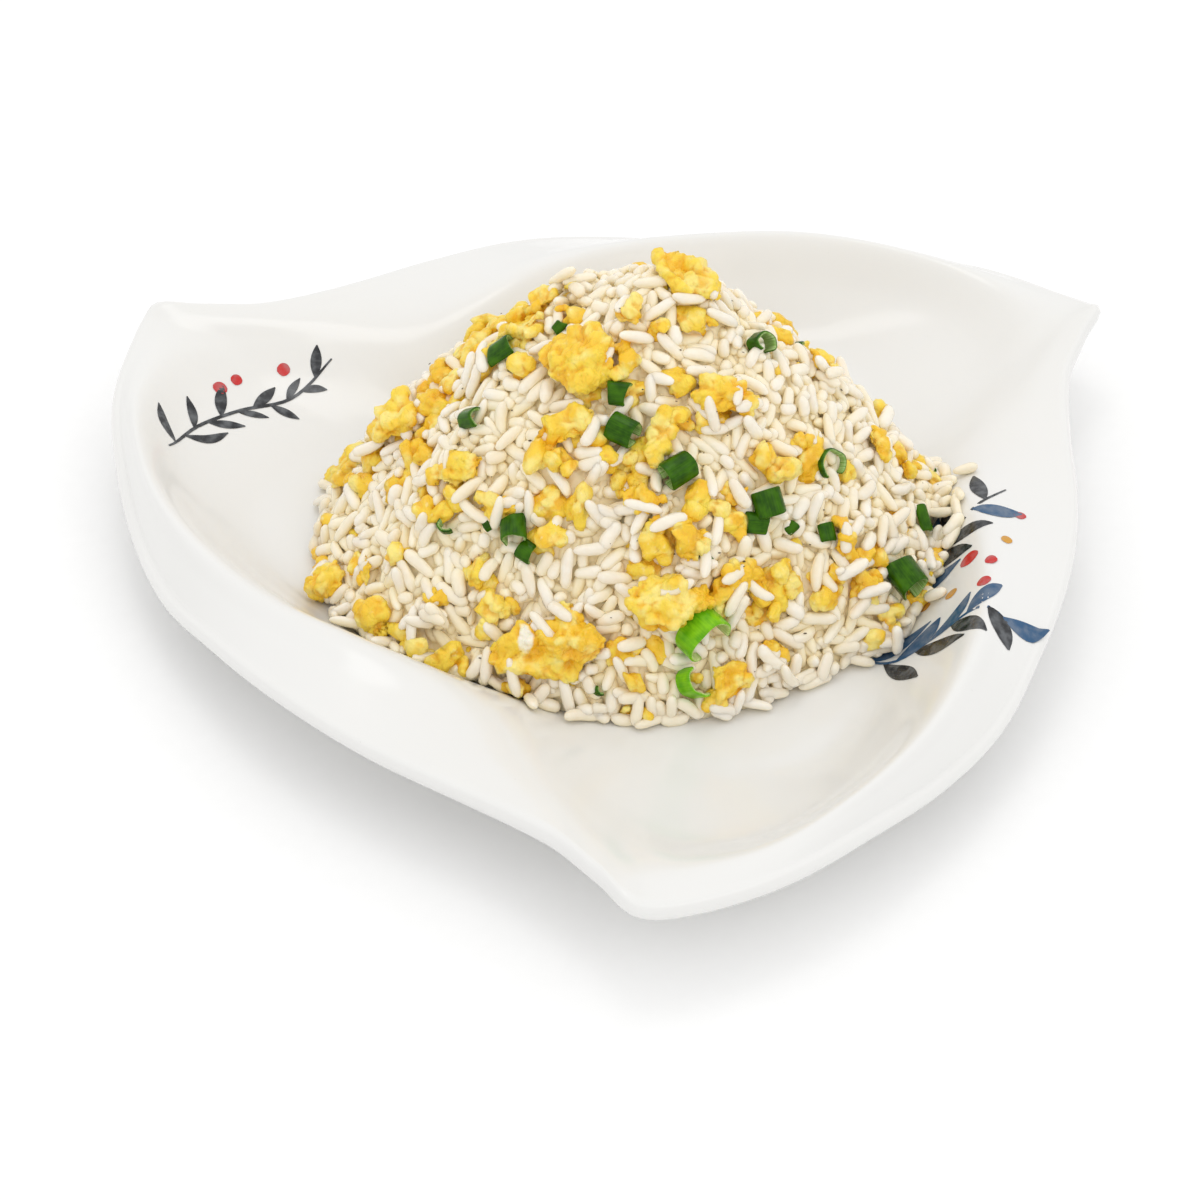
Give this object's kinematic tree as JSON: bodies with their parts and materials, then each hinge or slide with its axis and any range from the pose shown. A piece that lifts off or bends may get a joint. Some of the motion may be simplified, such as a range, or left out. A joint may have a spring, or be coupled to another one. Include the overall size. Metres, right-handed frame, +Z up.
{
  "type": "fried rice plate",
  "caption": "Plate of egg fried rice: a loose heap of cooked rice with scrambled egg and scallion on a glazed white plate with three swept tips and a foot ring.",
  "frame": {"origin": "on the table, under the middle of the plate's bounding box", "axes": "+Z up; -Y towards the viewer, where one tip of the plate points; +X to the viewer's right"},
  "size_m": [0.2268, 0.2288, 0.0787],
  "materials": {
    "glaze": "gloss",
    "rice": "satin",
    "egg": "satin",
    "leaf": "gloss",
    "pale_leaf": "gloss"
  },
  "bodies": {
    "root": {"egg_01": "egg", "egg_02": "egg", "egg_03": "egg", "egg_04": "egg", "egg_05": "egg", "egg_06": "egg", "egg_07": "egg", "egg_08": "egg", "egg_09": "egg", "egg_10": "egg", "egg_11": "egg", "egg_12": "egg", "egg_13": "egg", "egg_14": "egg", "egg_15": "egg", "egg_16": "egg", "egg_17": "egg", "egg_18": "egg", "egg_19": "egg", "egg_20": "egg", "egg_21": "egg", "egg_22": "egg", "egg_23": "egg", "egg_24": "egg", "egg_25": "egg", "egg_26": "egg", "egg_27": "egg", "egg_28": "egg", "egg_29": "egg", "egg_30": "egg", "egg_31": "egg", "egg_32": "egg", "egg_33": "egg", "egg_34": "egg", "egg_35": "egg", "egg_36": "egg", "egg_37": "egg", "plate": "glaze", "rice_heap": "rice", "scallion_01": "leaf", "scallion_02": "leaf", "scallion_03": "leaf", "scallion_04": "leaf", "scallion_05": "leaf", "scallion_06": "leaf", "scallion_07": "leaf", "scallion_08": "leaf", "scallion_09": "leaf", "scallion_10": "leaf", "scallion_11": "leaf", "scallion_12": "leaf", "scallion_13": "leaf", "scallion_14": "leaf", "scallion_15": "pale_leaf", "scallion_16": "pale_leaf", "scallion_17": "leaf", "scallion_18": "leaf", "scallion_19": "leaf"}
  },
  "joints": []
}
